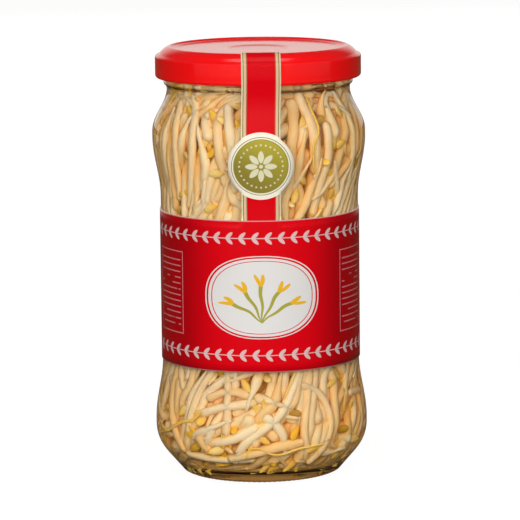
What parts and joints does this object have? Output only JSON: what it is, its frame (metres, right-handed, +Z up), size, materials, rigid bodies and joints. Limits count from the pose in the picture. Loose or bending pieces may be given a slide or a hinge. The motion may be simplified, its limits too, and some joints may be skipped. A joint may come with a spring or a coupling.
{
  "type": "jar of bean sprouts",
  "caption": "Waisted glass food jar packed with bean sprouts in brine, closed by a twist-off lid, with a red wrap label whose tab runs up over the lid.",
  "frame": {"origin": "on the jar's axis, at the plane that its foot stands on", "axes": "+Z up along the jar's axis; the label's tab and front face -Y"},
  "size_m": [0.069, 0.0693, 0.1393],
  "materials": {
    "glass_jar": "polished",
    "lid": "gloss",
    "lid_gasket": "matte",
    "label": "satin",
    "brine": "polished",
    "sprouts": "satin"
  },
  "bodies": {
    "root": {"glass_jar": "glass_jar", "lid": "lid", "lid_gasket": "lid_gasket", "label": "label", "brine": "brine", "sprouts": "sprouts"}
  },
  "joints": []
}
